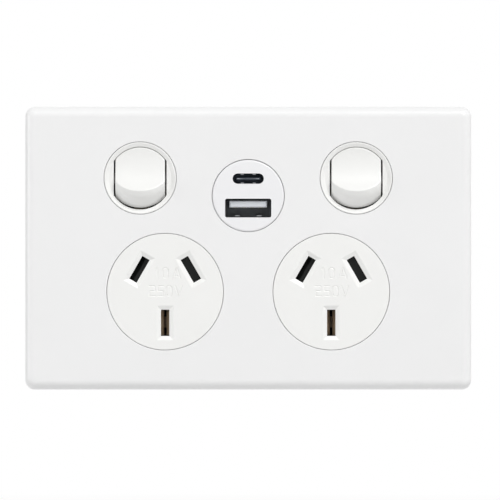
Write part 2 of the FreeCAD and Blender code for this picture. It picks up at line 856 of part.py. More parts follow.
POSTS = [
    (CONTACT_DEPTH + " + strip_thickness", [
        (f"-{ARM_X}", "0"), (ARM_X, "0"),
        (f"-{ARM_X}", "rocker_rise + arm_post_rise"), (ARM_X, "rocker_rise + arm_post_rise"),
        (active_x("left"), PIN_Z),
    ]),
    ("bar_depth + strip_thickness", [
        (neutral_x("left"), PIN_Z), (f"{neutral_x('right')} - bar_post_inset", PIN_Z),
        (socket_x("left"), EARTH_Z), (socket_x("right"), EARTH_Z),
    ]),
    ("feed_depth + strip_thickness", [
        ("0", FEED_Z),
        (switch_x("left"), "rocker_rise - feed_post_drop"),
        (switch_x("right"), "rocker_rise - feed_post_drop"),
    ]),
    (BOARD_BACK, [
        (f"{sign} * ({BOARD_HALF} - board_post_inset)", rise)
        for sign in ("-1", "1")
        for rise in (f"{BOARD_Z} + board_height / 2 - board_post_inset",
                     f"{BOARD_Z} - board_post_drop")
    ]),
]


def rear_housing():
    body = new_body("rear_housing")
    middle = f"({BODY_TOP} - {BODY_BOTTOM}) / 2"
    tall = f"({BODY_TOP} + {BODY_BOTTOM})"
    shell = sketch(body, "XZ_Plane", "rim_depth")
    pad(body, box(shell, "0", middle, f"2 * {BODY_HALF}", tall), "body_depth + rim_depth", "back")
    fillet(body, "body_corner", straight_in)
    back = size("body_depth")
    fillet(body, "body_corner / 3", lambda p: at_depth(p, back))
    hollow = sketch(body, "XZ_Plane", "rim_depth")
    box(hollow, "0", middle, f"2 * ({BODY_HALF} - body_wall)", f"{tall} - 2 * body_wall")
    pocket(body, hollow, f"{INNER_BACK} + rim_depth")
    for depth, places in POSTS:
        posts = sketch(body, "XZ_Plane", f"-({depth})")
        for x, z in places:
            circle(posts, x, z, "2 * post_radius")
        pad(body, posts, f"{INNER_BACK} - ({depth}) + body_wall / 2", "back")
    pillars = sketch(body, "XZ_Plane", "rim_depth")
    shanks = sketch(body, "XZ_Plane", "rim_depth")
    heads = sketch(body, "XZ_Plane", "screw_sink - body_depth")
    for x, z in SCREW_PLACES:
        circle(pillars, x, z, "screw_pillar")
        circle(shanks, x, z, "screw_shank + 2 * screw_play")
        circle(heads, x, z, "screw_head + 2 * head_play")
    pad(body, pillars, "rim_depth + body_depth - body_wall / 2", "back")
    collars = sketch(body, "XZ_Plane", "body_wall / 2 - body_depth + screw_sink")
    for x, z in SCREW_PLACES:
        circle(collars, x, z, "screw_head + 2 * head_play + tube_wall")
    pad(body, collars, "screw_sink", "back")
    pocket(body, shanks, "body_depth + 2 * rim_depth")
    pocket(body, heads, "screw_sink")
    for x, depth in TERMINALS.values():
        tube = sketch(body, "XZ_Plane", f"-({depth} + terminal_thickness)")
        circle(tube, x, CLAMP_Z, "clamp_head + 2 * head_play + 2 * tube_wall")
        pad(body, tube, f"{INNER_BACK} - {depth} - terminal_thickness + body_wall / 2", "back")
        bore = sketch(body, "XZ_Plane", f"-({depth} + terminal_thickness)")
        circle(bore, x, CLAMP_Z, "clamp_head + 2 * head_play")
        pocket(body, bore, "body_depth")
        mouth = sketch(body, "XY_Plane", f"body_wall / 2 - {BODY_BOTTOM}")
        circle(mouth, x, f"{depth} + tunnel_inset", "wire_hole")
        pocket(body, mouth, "2 * body_wall", "both")
    return node(body, "rear_housing")


# Terminals: brass blocks with a wire tunnel and a clamp screw

TERMINAL_LOW = f"(body_wall - {BODY_BOTTOM} + rim_play)"
CLAMP_Z = f"({TERMINAL_LOW} + terminal_height / 2 - clamp_drop)"


def terminal(name, x, depth):
    body = new_body(name + "_terminal")
    block = sketch(body, "XZ_Plane", f"-{depth}")
    box(block, x, f"{TERMINAL_LOW} + terminal_height / 2", "terminal_width", "terminal_height")
    pad(body, block, "terminal_thickness", "back")
    chamfer(body, "terminal_edge", straight_in)
    tunnel = sketch(body, "XY_Plane", TERMINAL_LOW)
    circle(tunnel, x, f"{depth} + tunnel_inset", "tunnel_bore")
    pocket(body, tunnel, "tunnel_length", "front")
    thread = sketch(body, "XZ_Plane", f"-({depth} + terminal_thickness)")
    circle(thread, x, CLAMP_Z, "clamp_thread + 2 * clamp_play")
    pocket(body, thread, "terminal_thickness - tunnel_inset", "front")
    return node(body, name + "_terminal")


def clamp_screw(name, x, depth):
    """Shown backed off, with its tip just clear of the tunnel."""
    tip = f"{depth} + tunnel_inset + tunnel_bore / 2 + clamp_play"
    seat = f"{depth} + terminal_thickness + clamp_travel + clamp_play"
    turn = (Vector(1, 0, 0), -90)
    shank = primitive("Cylinder", name + "_shank",
                      {"Radius": "clamp_thread / 2", "Height": f"{seat} - ({tip}) + clamp_head_height / 8"},
                      (x, tip, CLAMP_Z), turn)
    head = primitive("Cylinder", name + "_head",
                     {"Radius": "clamp_head / 2", "Height": "clamp_head_height"},
                     (x, seat, CLAMP_Z), turn)
    slot = primitive("Box", name + "_slot",
                     {"Length": "2 * clamp_head", "Width": "clamp_head_height",
                      "Height": "driver_slot"},
                     (f"{x} - clamp_head", f"{seat} + clamp_head_height / 2",
                      f"{CLAMP_Z} - driver_slot / 2"))
    whole = joined("MultiFuse", name + "_blank", [shank, head])
    return node(cut(name + "_screw", whole, slot), name + "_screw")


# Contact strips: spring leaves that grip a plug's flat pins

def leaves(body, x, z, lean, depth, front):
    """A pair of leaves that narrow to a pinch and flare open at the mouth."""
    for way in ("1", "-1"):
        sk = body.newObject("Sketcher::SketchObject", body.Name + "_leaf")
        support = next(f for f in body.Origin.OriginFeatures if f.Role == "XY_Plane")
        sk.AttachmentSupport = [(support, "")]
        sk.MapMode = "FlatFace"
        sk.AttachmentOffset = Placement(Vector(), Rotation(Vector(0, 1, 0), 1))
        bind(sk, "AttachmentOffset.Rotation.Angle", lean)
        bind(sk, "AttachmentOffset.Base.x", x)
        bind(sk, "AttachmentOffset.Base.z", z)
        root = "(leaf_pinch + leaf_root)"
        pinch = f"(-({front}) + lip_length)"
        outline(sk, [
            (f"{way} * {root}", f"{depth} + strip_thickness / 2"),
            (f"{way} * leaf_pinch", pinch),
            (f"{way} * leaf_flare", f"-({front})"),
            (f"{way} * (leaf_flare + leaf_thickness)", f"-({front})"),
            (f"{way} * (leaf_pinch + leaf_thickness)", f"{pinch} + leaf_thickness / 2"),
            (f"{way} * ({root} + leaf_thickness)", f"{depth} + strip_thickness / 2"),
        ])
        pad(body, sk, "leaf_length", "both")


def active_contact(side):
    """From the active slot up past the switch, to the pad that the see-saw meets."""
    body = new_body("active_contact_" + side)
    x = active_x(side)
    arm = f"{SIDES[side]} * {ARM_X}"
    out = SIDES[side]
    top = "(rocker_rise + rivet_reach)"
    tip = f"{switch_x(side)} + {out} * contact_lap"
    near, far = f"{top} - strip_width / 2", f"{top} + strip_width / 2"
    inner, outer = (far, near) if side == "right" else (near, far)
    strip = sketch(body, "XZ_Plane", f"-{CONTACT_DEPTH}")
    outline(strip, [
        (f"{x} - pad_half", f"{PIN_Z} - pad_half"),
        (f"{arm} + strip_width / 2", f"{PIN_Z} - pad_half"),
        (f"{arm} + strip_width / 2", outer),
        (tip, outer),
        (tip, inner),
        (f"{arm} - strip_width / 2", inner),
        (f"{arm} - strip_width / 2", f"{PIN_Z} + pad_half"),
        (f"{x} - pad_half", f"{PIN_Z} + pad_half"),
    ])
    pad(body, strip, "strip_thickness", "back")
    leaves(body, x, PIN_Z, "slot_lean", CONTACT_DEPTH, "leaf_front")
    return node(body, "active_contact_" + side)


def neutral_bar():
    body = new_body("neutral_bar")
    left, right = neutral_x("left"), neutral_x("right")
    low, high = f"{PIN_Z} - bar_width / 2", f"{PIN_Z} + bar_width / 2"
    drop_left = "-terminal_spread - strip_width / 2"
    drop_right = "-terminal_spread + strip_width / 2"
    end = f"{TERMINAL_LOW} + terminal_height"
    tab = f"{BOARD_Z} - board_height / 2 + board_lap"
    tab_left, tab_right = "-neutral_tab - tab_width / 2", "-neutral_tab + tab_width / 2"
    strip = sketch(body, "XZ_Plane", "-bar_depth")
    outline(strip, [
        (f"{left} - pad_half", low), (drop_left, low), (drop_left, end), (drop_right, end),
        (drop_right, low), (f"{right} + pad_half", low), (f"{right} + pad_half", high),
        (tab_right, high), (tab_right, tab), (tab_left, tab), (tab_left, high),
        (f"{left} - pad_half", high),
    ])
    pad(body, strip, "strip_thickness", "back")
    depth = TERMINALS["neutral"][1]
    foot = sketch(body, "XZ_Plane", "-bar_depth")
    box(foot, "-terminal_spread", f"{end} + strip_thickness / 2", "strip_width", "strip_thickness")
    pad(body, foot, f"{depth} - bar_depth + terminal_thickness / 2", "back")
    tail = sketch(body, "XZ_Plane", f"-{BOARD_BACK}")
    box(tail, "-neutral_tab", f"{tab} - strip_thickness / 2", "tab_width", "strip_thickness")
    pad(body, tail, f"bar_depth + strip_thickness - {BOARD_BACK}", "back")
    leaves(body, left, PIN_Z, "-slot_lean", "bar_depth", "leaf_front")
    leaves(body, right, PIN_Z, "-slot_lean", "bar_depth", "leaf_front")
    return node(body, "neutral_bar")


def earth_bar():
    body = new_body("earth_bar")
    left, right = socket_x("left"), socket_x("right")
    strip = sketch(body, "XZ_Plane", "-bar_depth")
    box(strip, "0", EARTH_Z, f"{right} - {left} + 2 * pad_half", "bar_width")
    pad(body, strip, "strip_thickness", "back")
    leaves(body, left, EARTH_Z, "0", "bar_depth", "leaf_front + earth_lead")
    leaves(body, right, EARTH_Z, "0", "bar_depth", "leaf_front + earth_lead")
    return node(body, "earth_bar")


def active_feed_bar():
    """From the active terminal up to both switches, with a knife edge and a stop for each."""
    body = new_body("active_feed_bar")
    half = "bar_width / 2"
    x = "terminal_spread"
    far, near = f"{switch_x('right')} + feed_arm_half", f"{switch_x('right')} - feed_arm_half"
    low, high, top = f"{FEED_Z} - {half}", f"{FEED_Z} + {half}", "rocker_rise + feed_arm_half"
    strip = sketch(body, "XZ_Plane", "-feed_depth")
    end = f"{TERMINAL_LOW} + terminal_height - feed_lap"
    outline(strip, [
        (f"{x} - {half}", end), (f"{x} + {half}", end), (f"{x} + {half}", low),
        (far, low), (far, top), (near, top), (near, high),
        (f"-({near})", high), (f"-({near})", top), (f"-({far})", top), (f"-({far})", low),
        (f"{x} - {half}", low),
    ])
    pad(body, strip, "strip_thickness", "back")
    for side in SIDES:
        knife = sketch(body, "YZ_Plane", switch_x(side))
        wing = "strip_thickness / 2"
        outline(knife, [
            ("feed_depth + strip_thickness / 2", f"rocker_rise - {wing}"),
            ("feed_depth + strip_thickness / 2", f"rocker_rise + {wing}"),
            (f"{BLADE_DEPTH} + {wing}", f"rocker_rise + {wing}"),
            (f"{BLADE_DEPTH} + knife_play", "rocker_rise"),
            (f"{BLADE_DEPTH} + {wing}", f"rocker_rise - {wing}"),
        ])
        pad(body, knife, "blade_width - 2 * knife_inset", "both")
        stop = sketch(body, "YZ_Plane", switch_x(side))
        reach = f"({BLADE_DEPTH} + rivet_reach * tan(blade_tilt) + 3 * knife_play)"
        box(stop, f"(feed_depth + strip_thickness / 2 + {reach}) / 2",
            "rocker_rise - rivet_reach + strip_thickness / 2",
            f"feed_depth + strip_thickness / 2 - {reach}", "strip_thickness")
        pad(body, stop, "blade_width - 2 * stop_inset", "both")
    tab = sketch(body, "XZ_Plane", f"-{BOARD_BACK}")
    box(tab, "feed_tab", FEED_Z, "tab_width", "strip_thickness")
    pad(body, tab, f"feed_depth - {BOARD_BACK} + strip_thickness / 2", "back")
    return node(body, "active_feed_bar")


# Switches: rocker, plunger and see-saw contact

def rocker(side):
    """Modelled about its pivot with the dished face square to the front."""
    body = new_body("rocker_" + side)
    ball = sketch(body, "XZ_Plane")
    barrel(ball, ("rocker_half", size("rocker_half")), ("rocker_radius", size("rocker_radius")))
    turned(body, "Revolution", ball)
    back = sketch(body, "YZ_Plane")
    outline(back, [("-skirt_front", "-2 * rocker_radius"), ("2 * rocker_radius", "-2 * rocker_radius"),
                   ("2 * rocker_radius", "2 * rocker_radius"), ("-skirt_front", "2 * rocker_radius")])
    pocket(body, back, "4 * rocker_half", "both")
    ball_edge = "sqrt(rocker_radius ^ 2 - skirt_taper_front ^ 2)"
    flare = f"{ball_edge} + (skirt_taper_front - skirt_front + skirt_overrun) * tan(skirt_taper)"
    taper = sketch(body, "XY_Plane")
    outline(taper, [
        (ball_edge, "-skirt_taper_front"), ("2 * rocker_radius", "-skirt_taper_front"),
        ("2 * rocker_radius", "skirt_overrun - skirt_front"), (flare, "skirt_overrun - skirt_front"),
    ])
    turned(body, "Groove", taper, "V_Axis")
    crease = -size("skirt_taper_front")
    fillet(body, "skirt_blend", lambda p: at_depth(p, crease))
    pad(body, circle(sketch(body, "YZ_Plane"), "0", "0", "2 * ear_radius"),
        "2 * rocker_half", "both")
    pad(body, circle(sketch(body, "YZ_Plane"), "0", "0", "2 * trunnion_radius"),
        "2 * trunnion_reach", "both")
    dish = sketch(body, "YZ_Plane")
    circle(dish, "-(dish_floor + dish_radius)", "0", "2 * dish_radius")
    pocket(body, dish, "4 * rocker_half", "both")
    reach = size("dish_floor") + size("dish_radius")
    radius = size("dish_radius")
    fillet(body, "rocker_edge",
           lambda p: all(abs(math.hypot(q.y + reach, q.z) - radius) < 1e-3 for q in p))
    floor = "(dish_floor - rocker_wall)"
    well = sketch(body, "XZ_Plane", floor)
    rounded(well, "0", "0", "2 * (rocker_half - rocker_wall)", "rocker_well", "rocker_well_corner")
    pocket(body, well, "2 * rocker_radius")
    stem = sketch(body, "XZ_Plane", f"{floor} + rocker_wall / 4")
    circle(stem, "0", "0", "stem_bore + 2 * stem_wall")
    pad(body, stem, f"{floor} + rocker_wall / 4 + stem_end", "back")
    bore = sketch(body, "XZ_Plane", "stem_well")
    circle(bore, "0", "0", "stem_bore")
    pocket(body, bore, "2 * rocker_radius")
    place(body, switch_x(side), "-pivot_front", "rocker_rise", "-rocker_tilt")
    return node(body, "rocker_" + side)


def plunger(side):
    """A round-nosed pin in the rocker's stem, drawn at its pushed-in length."""
    body = new_body("plunger_" + side)
    radius = "(stem_bore / 2 - plunger_play)"
    rod = circle(sketch(body, "XZ_Plane", "-plunger_tip"), "0", "0", f"2 * {radius}")
    pad(body, rod, "plunger_length")
    tip = size("plunger_tip")
    fillet(body, f"0.98 * {radius}", lambda p: at_depth(p, tip))
    place(body, switch_x(side), "-pivot_front", "rocker_rise", "-rocker_tilt")
    return node(body, "plunger_" + side)


def moving_contact(side):
    """A see-saw blade that rocks on the feed bar's knife edge."""
    body = new_body("moving_contact_" + side)
    blade = box(sketch(body, "XZ_Plane"), "0", "(blade_reach - blade_foot) / 2", "blade_width",
                "blade_reach + blade_foot")
    pad(body, blade, "blade_thickness")
    fillet(body, "blade_width / 3", straight_in)
    place(body, switch_x(side), BLADE_DEPTH, "rocker_rise", "blade_tilt")
    return node(body, "moving_contact_" + side)


def moving_rivet(side):
    body = new_body("moving_rivet_" + side)
    head = circle(sketch(body, "XZ_Plane"), "0", "rivet_reach", "2 * rivet_radius")
    pad(body, head, "rivet_height", "back")
    edge = size("rivet_height")
    fillet(body, "rivet_height / 3", lambda p: at_depth(p, edge))
    place(body, switch_x(side), BLADE_DEPTH, "rocker_rise", "blade_tilt")
    return node(body, "moving_rivet_" + side)


def fixed_rivet(side):
    body = new_body("fixed_rivet_" + side)
    head = sketch(body, "XZ_Plane", f"-{CONTACT_DEPTH}")
    circle(head, switch_x(side), "rocker_rise + rivet_reach", "2 * rivet_radius")
    pad(body, head, "rivet_height")
    return node(body, "fixed_rivet_" + side)


# Springs: real coils, swept along a helix

def coil(name, at, axis, turn, room, diameter, turns):
    """A round-wire compression spring that fills a length of room from a point."""
    helix = doc.addObject("Part::Helix", name + "_path")
    height = f"(({room}) - spring_wire - 2 * spring_play)"
    bind(helix, "Pitch", f"{height} / ({turns})")
    bind(helix, "Height", height)
    bind(helix, "Radius", f"({diameter}) / 2")
    bind(helix, "Placement.Base.z", "spring_wire / 2 + spring_play")
    section = doc.addObject("Part::Circle", name + "_section")
    bind(section, "Radius", "spring_wire / 2")
    section.Placement = Placement(Vector(), Rotation(Vector(1, 0, 0), 90))
    bind(section, "Placement.Base.x", f"({diameter}) / 2")
    bind(section, "Placement.Base.z", "spring_wire / 2 + spring_play")
    sweep = doc.addObject("Part::Sweep", name)
    sweep.Sections = [section]
    sweep.Spine = (helix, [])
    sweep.Solid = True
    sweep.Frenet = True
    sweep.Placement = Placement(Vector(), Rotation(axis, 1))
    bind(sweep, "Placement.Rotation.Angle", turn)
    for letter, text in zip("xyz", at):
        bind(sweep, "Placement.Base." + letter, text)
    return node(sweep, name)


def shutter_spring(side):
    """Between the shutter's tail and the guide's post, along X."""
    start = (socket_x(side), f"-{SHUTTER_BACK} - shutter_thickness / 2",
             SPRING_Z)
    return coil("shutter_spring_" + side, start, Vector(0, 1, 0), "90",
                "spring_length", "spring_coil", "spring_turns")


def plunger_spring(side):
    """Down the rocker's stem, from the end of its bore to the plunger."""
    start = (switch_x(side), "-pivot_front - stem_well * cos(rocker_tilt)",
             "rocker_rise + stem_well * sin(rocker_tilt)")
    return coil("plunger_spring_" + side, start, Vector(1, 0, 0), "-90 - rocker_tilt",
                "stem_well + plunger_tip - plunger_length",
                "stem_bore - spring_wire - 2 * plunger_play", "plunger_turns")


# Shutters: a sliding plate behind each face, on a guide disc

def shutter(side):
    body = new_body("shutter_" + side)
    lean = "tan(slot_lean)"
    slot_half = "(slot_width / 2 / cos(slot_lean))"
    edge = f"(-pin_offset - {slot_half} - shutter_lap)"
    left_top = f"{edge} + (shutter_top - pin_rise) * {lean}"
    left_low = f"{edge} - pin_rise * {lean}"
    cover = f"(pin_offset + {slot_half} + shutter_cover)"
    right_top = f"{cover} - (shutter_top - pin_rise) * {lean}"
    right_knee = f"pin_rise - (shutter_end - {cover}) / {lean}"
    centre = (socket_x(side), PIN_CENTRE_Z)
    plate = sketch(body, "XZ_Plane", SHUTTER_BACK, centre)
    outline(plate, [
        (left_low, "0"), ("-tail_width", "0"), ("-tail_width", "-tail_drop"),
        ("0", "-tail_drop"), ("0", "0"), ("shutter_end", "0"),
        ("shutter_end", right_knee), (right_top, "shutter_top"), (left_top, "shutter_top"),
    ])
    pad(body, plate, "shutter_thickness")
    window = sketch(body, "XZ_Plane", SHUTTER_BACK,
                    (f"{socket_x(side)} + pin_offset - shutter_travel", PIN_Z), "slot_lean")
    box(window, "0", "0", "slot_width + 2 * window_play", "slot_length - 2 * window_play")
    pocket(body, window, "shutter_thickness", "front")
    middle = size("socket_pitch") / 2 * float(SIDES[side])
    tan = math.tan(math.radians(size("slot_lean")))
    half = size("slot_width") / 2 / math.cos(math.radians(size("slot_lean")))
    front = -(size("plate_projection") - size("face_thickness") - size("shutter_play"))
    left_at = middle - size("pin_offset") - half - size("shutter_lap")
    high = size("pin_lift") + size("pin_rise") - size("socket_drop")

    def ramp_edge(points):
        return at_depth(points, front) and all(
            abs(p.x - left_at - (p.z - high) * tan) < 1e-3 for p in points)

    chamfer(body, "shutter_ramp", ramp_edge)
    return node(body, "shutter_" + side)


def shutter_guide(side):
    """The disc that carries a shutter, open for the pins, with the spring's end post."""
    body = new_body("shutter_guide_" + side)
    x = socket_x(side)
    back = "guide_front - guide_thickness"
    disc = sketch(body, "XZ_Plane", back)
    circle(disc, x, "-socket_drop", "guide_bore - 2 * guide_play")
    pad(body, disc, "guide_thickness")
    for slot_x, slot_z, lean in ((active_x(side), PIN_Z, "-slot_lean"),
                                 (neutral_x(side), PIN_Z, "slot_lean"),
                                 (x, EARTH_Z, "0")):
        gap = sketch(body, "XZ_Plane", "guide_front", (slot_x, slot_z), lean)
        box(gap, "0", "0", "2 * (leaf_flare + leaf_thickness + leaf_room)",
            "slot_length + leaf_room")
        pocket(body, gap, "guide_thickness")
    post = sketch(body, "XZ_Plane", "guide_front - guide_thickness / 2")
    box(post, f"{x} + spring_length + spring_post / 2", SPRING_Z, "spring_post",
        "tail_drop - tail_clear")
    pad(body, post, f"{FACE_BACK} - guide_front + guide_thickness / 2 - shutter_play")
    return node(body, "shutter_guide_" + side)


# USB charger: fascia, two receptacles, circuit board and its power parts

PORT_FRONT = "(plate_projection - port_recess)"
PORTS = {
    "a": ("(usb_rise - port_a_drop)", "port_a_width", "port_a_height", "port_a_corner"),
    "c": ("(usb_rise + port_c_rise)", "port_c_width", "port_c_height", "port_c_corner"),
}


def port_outer(which):
    z, width, height, corner = PORTS[which]
    return z, f"({width} + 2 * port_wall)", f"({height} + 2 * port_wall)", f"({corner} + port_wall)"


def usb_fascia():
    body = new_body("usb_fascia")
    back = "flange_thickness"
    tower = box(sketch(body, "XZ_Plane", back), "0", "usb_rise", "fascia_tower_width",
                "fascia_tower_height")
    pad(body, tower, "fascia_tower_front - flange_thickness")
    collar = circle(sketch(body, "XZ_Plane", "fascia_collar_back"), "0", "usb_rise",
                    "fascia_collar")
    pad(body, collar, "plate_projection - cover_wall - cover_play - fascia_collar_back")
    disc = circle(sketch(body, "XZ_Plane", "fascia_tower_front"), "0", "usb_rise", "usb_disc")
    pad(body, disc, "plate_projection - fascia_tower_front")
    front = -size("plate_projection")
    fillet(body, "fascia_edge", lambda p: at_depth(p, front))
    for which in PORTS:
        z, width, height, corner = PORTS[which]
        mouth = sketch(body, "XZ_Plane", "plate_projection")
        pocket(body, rounded(mouth, "0", z, width, height, corner), "plate_projection")
        z, width, height, corner = port_outer(which)
        room = rounded(sketch(body, "XZ_Plane", PORT_FRONT), "0", z,
                       f"{width} + 2 * port_play", f"{height} + 2 * port_play", corner)
        pocket(body, room, "plate_projection")
    return node(body, "usb_fascia")


def usb_shell(which):
    name = f"usb_{which}_shell"
    body = new_body(name)
    z, width, height, corner = port_outer(which)
    length = f"{PORT_FRONT} + board_depth"
    front = sketch(body, "XZ_Plane", PORT_FRONT)
    pad(body, rounded(front, "0", z, width, height, corner), length, "back")
    z, width, height, corner = PORTS[which]
    mouth = sketch(body, "XZ_Plane", PORT_FRONT)
    pocket(body, rounded(mouth, "0", z, width, height, corner), length)
    return node(body, name)


def usb_a_tongue():
    body = new_body("usb_a_tongue")
    z, width, height, corner = PORTS["a"]
    root = rounded(sketch(body, "XZ_Plane", "-board_depth"), "0", z, f"{width} - 4 * port_play",
                   f"{height} - 4 * port_play", corner)
    pad(body, root, "port_root")
    blade = box(sketch(body, "XZ_Plane", "port_root / 2 - board_depth"), "0",
                f"{z} + tongue_a_top - tongue_a_thickness / 2", "tongue_a_width",
                "tongue_a_thickness")
    pad(body, blade, f"{PORT_FRONT} - tongue_recess + board_depth - port_root / 2")
    front = -(size("plate_projection") - size("port_recess") - size("tongue_recess"))
    chamfer(body, "tongue_edge", lambda p: at_depth(p, front))
    return node(body, "usb_a_tongue")


def usb_a_contacts():
    z = PORTS["a"][0]
    pins = []
    for i in range(4):
        pins.append(primitive(
            "Box", f"usb_a_pin_{i}",
            {"Length": "pin_width", "Width": f"{PORT_FRONT} - tongue_recess - pin_recess",
             "Height": "pin_height"},
            (f"{i - 1.5} * pin_pitch - pin_width / 2", f"pin_recess + tongue_recess - {PORT_FRONT}",
             f"{z} + tongue_a_top - tongue_a_thickness - pin_height")))
    return node(joined("Compound", "usb_a_contacts", pins), "usb_a_contacts")


def usb_c_tongue():
    body = new_body("usb_c_tongue")
    z, width, height, corner = PORTS["c"]
    root = rounded(sketch(body, "XZ_Plane", "-board_depth"), "0", z, f"{width} - 4 * port_play",
                   f"{height} - 4 * port_play", f"{corner} - 2 * port_play")
    pad(body, root, "2 * port_root")
    blade = box(sketch(body, "XZ_Plane", "port_root - board_depth"), "0", z, "tongue_c_width",
                "tongue_c_thickness")
    pad(body, blade, f"{PORT_FRONT} - tongue_recess + board_depth - port_root")
    return node(body, "usb_c_tongue")


def charger_board():
    body = new_body("charger_board")
    board = box(sketch(body, "XZ_Plane", "-board_depth"), "0", BOARD_Z, f"2 * {BOARD_HALF}",
                "board_height")
    pad(body, board, "board_thickness", "back")
    return node(body, "charger_board")


def transformer():
    """A two-window ferrite core, with a wound bobbin on its middle leg."""
    core = new_body("transformer_core")
    start = f"-({BOARD_BACK} + winding_build + core_lift)"
    frame = sketch(core, "XZ_Plane", start)
    box(frame, "0", CORE_Z, "core_width", "core_height")
    pad(core, frame, "core_thickness", "back")
    windows = sketch(core, "XZ_Plane", start)
    wide = "(core_width / 2 - core_yoke - core_leg / 2)"
    for sign in ("-1", "1"):
        box(windows, f"{sign} * (core_leg / 2 + {wide} / 2)", CORE_Z, wide,
            "core_height - 2 * core_yoke")
    pocket(core, windows, "core_thickness")
    node(core, "transformer_core")

    winding = new_body("transformer_winding")
    tall = "core_height - 2 * core_yoke - 2 * winding_play"
    low = sketch(winding, "XY_Plane", CORE_Z)
    middle = f"{BOARD_BACK} + winding_build + core_lift + core_thickness / 2"
    build = "(winding_build - winding_play)"
    box(low, "0", middle, f"core_leg + 2 * {build} + 2 * winding_play",
        f"core_thickness + 2 * {build} + 2 * winding_play")
    pad(winding, low, tall, "both")
    fillet(winding, "winding_build / 2",
           lambda p: abs(p[-1].z - p[0].z) > 1 and abs(p[-1].x - p[0].x) < 1e-4)
    leg = sketch(winding, "XY_Plane", CORE_Z)
    box(leg, "0", middle, "core_leg + 2 * winding_play", "core_thickness + 2 * winding_play")
    pocket(winding, leg, "2 * core_height", "both")
    return node(winding, "transformer_winding")


def charger_capacitors():
    turn = (Vector(1, 0, 0), -90)
    cans = [
        primitive("Cylinder", f"capacitor_{i}",
                  {"Radius": "capacitor_bore / 2", "Height": "capacitor_length"},
                  (f"{sign} * {CAPACITOR_X}", BOARD_BACK, CORE_Z), turn)
        for i, sign in enumerate(("-1", "1"))
    ]
    return node(joined("Compound", "charger_capacitors", cans), "charger_capacitors")


def housing_screws():
    turn = (Vector(1, 0, 0), -90)
    screws = []
    for i, (x, z) in enumerate(SCREW_PLACES):
        seat = "(body_depth - screw_sink)"
        shank = primitive("Cylinder", f"screw_shank_{i}",
                          {"Radius": "screw_shank / 2", "Height": f"{seat} + screw_front - screw_tip_play"},
                          (x, "screw_tip_play - screw_front", z), turn)
        head = primitive("Cylinder", f"screw_head_{i}",
                         {"Radius": "screw_head / 2", "Height": "screw_head_height"},
                         (x, seat, z), turn)
        slot = primitive("Box", f"screw_slot_{i}",
                         {"Length": "2 * screw_head", "Width": "screw_head_height",
                          "Height": "driver_slot"},
                         (f"{x} - screw_head", f"{seat} + screw_head_height / 2",
                          f"{z} - driver_slot / 2"))
        whole = joined("MultiFuse", f"screw_blank_{i}", [shank, head])
        screws.append(cut(f"screw_{i}", whole, slot))
    return node(joined("Compound", "housing_screws", screws), "housing_screws")


cover_plate()
front_housing()
rear_housing()
housing_screws()
usb_fascia()
for port in PORTS:
    usb_shell(port)
usb_a_tongue()
usb_a_contacts()
usb_c_tongue()
charger_board()
transformer()
charger_capacitors()
neutral_bar()
earth_bar()
active_feed_bar()
for wire, (wire_x, wire_depth) in TERMINALS.items():
    terminal(wire, wire_x, wire_depth)
    clamp_screw(wire, wire_x, wire_depth)
for hand in SIDES:
    active_contact(hand)
    fixed_rivet(hand)
    rocker(hand)
    plunger(hand)
    moving_contact(hand)
    moving_rivet(hand)
    shutter(hand)
    shutter_guide(hand)
    shutter_spring(hand)
    plunger_spring(hand)

doc.recompute()
failed = [o.Name for o in doc.Objects if {"Invalid", "Error"} & set(o.State)]
if failed:
    raise RuntimeError("failed objects: " + ", ".join(failed))
os.makedirs("parts", exist_ok=True)
for piece in NODES:
    shape = piece.Shape
    if shape.isNull() or not shape.isValid() or not shape.Solids:
        raise RuntimeError(f"bad shape: {piece.Label}")
    shape.exportStep(f"parts/{piece.Label}.step")
    print(f"{piece.Label:24s} solids {len(shape.Solids)}  volume {shape.Volume:9.2f}")
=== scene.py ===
"""Looks of a double wall socket: white mouldings, two rocker switches and a USB charger.

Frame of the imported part, in metres: X to the right, Y into the wall, Z up.
"""
import json

import bpy
import numpy as np
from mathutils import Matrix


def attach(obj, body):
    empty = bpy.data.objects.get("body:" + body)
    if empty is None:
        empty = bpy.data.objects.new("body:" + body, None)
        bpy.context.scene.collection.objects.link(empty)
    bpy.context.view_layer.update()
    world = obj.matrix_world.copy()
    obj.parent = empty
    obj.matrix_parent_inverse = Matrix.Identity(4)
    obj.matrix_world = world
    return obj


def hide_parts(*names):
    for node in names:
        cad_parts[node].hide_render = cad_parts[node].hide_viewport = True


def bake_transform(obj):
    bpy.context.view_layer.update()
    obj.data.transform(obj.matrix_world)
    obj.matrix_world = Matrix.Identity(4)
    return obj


MM = 0.001
# Middle of each socket face: its distance to either side of the plate's middle, and its height
SOCKET_X, SOCKET_Z = 22.15, -11.6
# The axis of both shutter springs
SPRING_Y, SPRING_Z = -5.8, -11.2
# Inner walls of the ports, and the middle of the C tongue
A_FLOOR, C_FLOOR, C_CEILING, C_MIDDLE = 8.21, 17.19, 19.91, 18.55

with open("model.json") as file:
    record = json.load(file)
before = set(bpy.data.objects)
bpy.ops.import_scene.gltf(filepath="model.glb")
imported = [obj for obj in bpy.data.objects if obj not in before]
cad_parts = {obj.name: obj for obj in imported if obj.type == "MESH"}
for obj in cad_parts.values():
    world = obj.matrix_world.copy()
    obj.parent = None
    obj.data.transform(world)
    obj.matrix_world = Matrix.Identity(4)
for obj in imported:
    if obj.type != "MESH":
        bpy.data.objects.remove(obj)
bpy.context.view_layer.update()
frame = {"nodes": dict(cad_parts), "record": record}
nodes = frame["nodes"]


def linear(code):
    """An sRGB hex colour as linear red, green, blue and an alpha of 1."""
    parts = np.array([int(code[i:i + 2], 16) for i in (1, 3, 5)]) / 255
    low, high = parts / 12.92, ((parts + 0.055) / 1.055) ** 2.4
    return (*np.where(parts <= 0.04045, low, high), 1.0)


